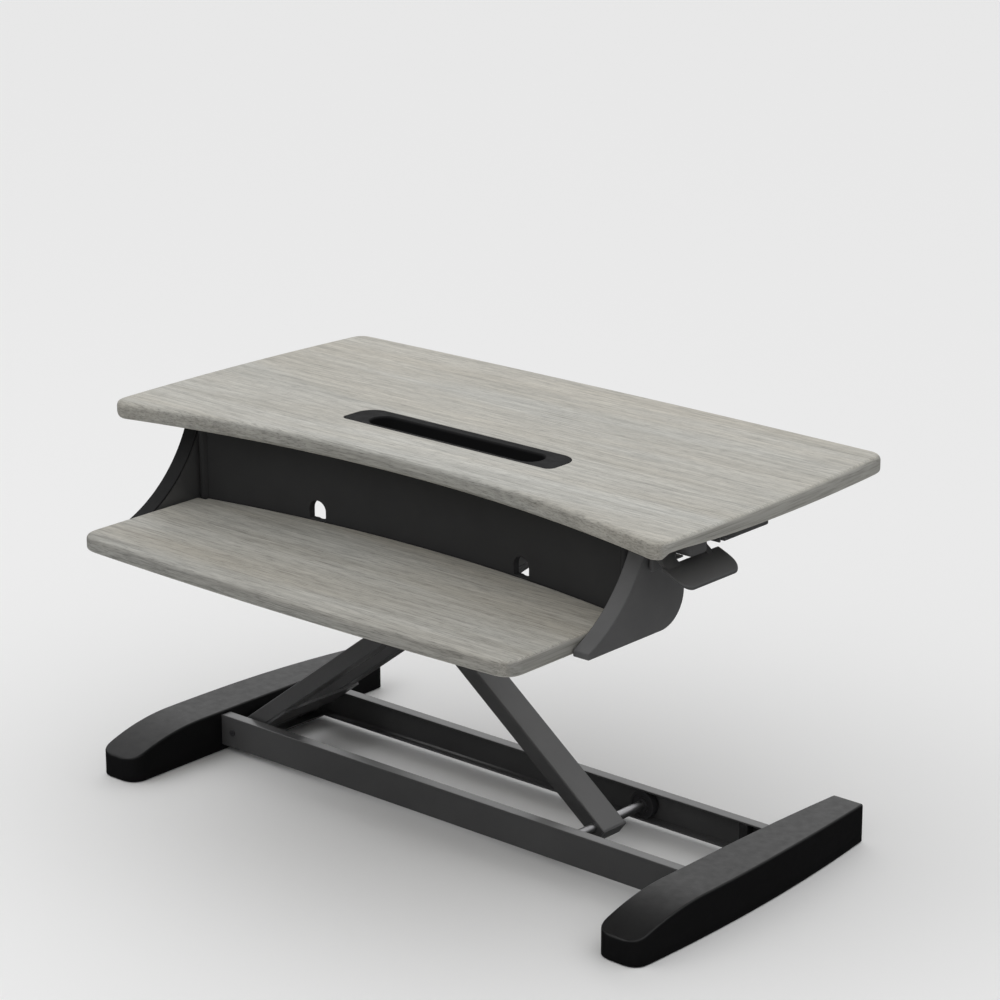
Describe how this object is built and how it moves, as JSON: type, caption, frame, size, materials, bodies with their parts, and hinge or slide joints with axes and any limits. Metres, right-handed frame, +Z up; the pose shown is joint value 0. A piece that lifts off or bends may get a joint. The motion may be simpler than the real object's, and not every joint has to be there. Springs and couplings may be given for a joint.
{
  "type": "standing desk converter",
  "caption": "Desktop sit-stand converter: bowed woodgrain worksurface and lower keyboard tray on a black X-shaped gas-spring lift with long curved feet.",
  "frame": {"origin": "on the desk under the middle of the object's box", "axes": "+X to the user's right along the worksurface, +Y away from the user, +Z up"},
  "size_m": [0.894, 0.602, 0.492],
  "materials": {
    "powder_coat": "satin black powder coat with a fine texture",
    "moulded_black": "moulded black plastic with a fine grain",
    "bezel_black": "satin black plastic",
    "panel_black": "black painted panel",
    "laminate_top": "grey-beige woodgrain laminate, matt",
    "laminate_tray": "grey-beige woodgrain laminate, matt",
    "rubber": "matt black rubber",
    "zinc_steel": "zinc-plated steel",
    "black_screws": "black oxide screws",
    "nylon": "dark grey nylon",
    "gas_tube": "gloss black painted tube",
    "lever_black": "moulded black plastic, soft sheen"
  },
  "bodies": {
    "base": {"foot_cover_left": "moulded_black", "foot_cover_right": "moulded_black", "foot_frame_left": "powder_coat", "foot_frame_right": "powder_coat", "foot_pads": "rubber", "foot_cover_screws": "zinc_steel", "base_rail_front": "powder_coat", "base_rail_back": "powder_coat", "base_ties": "powder_coat", "base_rail_bolts": "zinc_steel", "base_roller_stops": "rubber", "base_pivot_shaft": "zinc_steel", "base_pivot_bolts": "black_screws"},
    "outer_legs": {"outer_leg_front": "powder_coat", "outer_leg_back": "powder_coat", "outer_leg_ties": "powder_coat", "outer_leg_caps": "moulded_black", "outer_leg_bushes": "nylon"},
    "inner_leg": {"middle_leg": "powder_coat", "middle_leg_caps": "moulded_black", "middle_leg_bush": "nylon", "centre_pivot_shaft": "zinc_steel", "centre_pivot_spacers": "nylon", "lower_roller_shaft": "zinc_steel"},
    "front_base_roller": {"lower_roller_front": "nylon"},
    "back_base_roller": {"lower_roller_back": "nylon"},
    "carriage": {"slide_carriage": "powder_coat", "carriage_axle_front": "zinc_steel", "carriage_axle_back": "zinc_steel", "gas_spring_cylinder": "gas_tube", "gas_spring_cross_pin": "zinc_steel"},
    "front_top_roller": {"upper_roller_front": "nylon"},
    "back_top_roller": {"upper_roller_back": "nylon"},
    "lever": {"release_lever": "lever_black"},
    "button": {"release_button": "zinc_steel"},
    "platform": {"worksurface": "laminate_top", "device_slot_insert": "bezel_black", "top_rail_front": "powder_coat", "top_rail_back": "powder_coat", "top_tie_left": "powder_coat", "spring_anchor_plate": "powder_coat", "top_roller_stops": "rubber", "top_pivot_shaft": "zinc_steel", "top_pivot_bolts": "black_screws", "worksurface_screws": "zinc_steel", "gas_spring_rod": "zinc_steel", "release_head": "moulded_black", "release_head_pin": "zinc_steel", "keyboard_tray": "laminate_tray", "tray_cover_left": "moulded_black", "tray_cover_right": "moulded_black", "tray_arm_left": "powder_coat", "tray_arm_right": "powder_coat", "tray_screws": "zinc_steel", "back_panel": "panel_black", "panel_posts": "panel_black", "panel_cleats": "powder_coat", "lever_housing": "moulded_black", "lever_return_spring": "zinc_steel"}
  },
  "joints": [
    {"name": "lift", "type": "hinge", "parent": "base", "child": "outer_legs", "pos_m": [-0.36, 0.0575, 0.03], "axis": [0, 1, 0], "range_deg": [0, 28.1]},
    {"name": "centre_pivot", "type": "hinge", "parent": "outer_legs", "child": "inner_leg", "pos_m": [-0.08338, 0.0575, 0.2395], "axis": [0, 1, 0], "range_deg": [-56.2, 0]},
    {"name": "platform_pivot", "type": "hinge", "parent": "inner_leg", "child": "platform", "pos_m": [-0.36, 0.0575, 0.449], "axis": [0, 1, 0], "range_deg": [0, 28.1]},
    {"name": "carriage_pivot", "type": "hinge", "parent": "outer_legs", "child": "carriage", "pos_m": [0.19324, 0.0575, 0.449], "axis": [0, 1, 0], "range_deg": [-28.1, 0]},
    {"name": "front_base_roller_spin", "type": "hinge", "parent": "inner_leg", "child": "front_base_roller", "pos_m": [0.19324, -0.0215, 0.03], "axis": [0, 1, 0], "continuous": true},
    {"name": "back_base_roller_spin", "type": "hinge", "parent": "inner_leg", "child": "back_base_roller", "pos_m": [0.19324, 0.1365, 0.03], "axis": [0, 1, 0], "continuous": true},
    {"name": "front_top_roller_spin", "type": "hinge", "parent": "carriage", "child": "front_top_roller", "pos_m": [0.19324, -0.0215, 0.449], "axis": [0, 1, 0], "continuous": true},
    {"name": "back_top_roller_spin", "type": "hinge", "parent": "carriage", "child": "back_top_roller", "pos_m": [0.19324, 0.1365, 0.449], "axis": [0, 1, 0], "continuous": true},
    {"name": "lever_squeeze", "type": "hinge", "parent": "platform", "child": "lever", "pos_m": [0.385, -0.045, 0.455], "axis": [0, -1, 0], "range_deg": [0, 10], "stiffness_Nm_per_rad": 1.5, "springref_deg": -11.46},
    {"name": "button_press", "type": "slide", "parent": "platform", "child": "button", "axis": [0, 0, -1], "range_m": [0, 0.0036]}
  ],
  "couplings": [
    {"joint": "centre_pivot", "follows": "lift", "ratio": -2},
    {"joint": "platform_pivot", "follows": "lift", "ratio": 1},
    {"joint": "carriage_pivot", "follows": "lift", "ratio": -1},
    {"joint": "button_press", "follows": "lever_squeeze", "m_per_rad": 0.02}
  ]
}
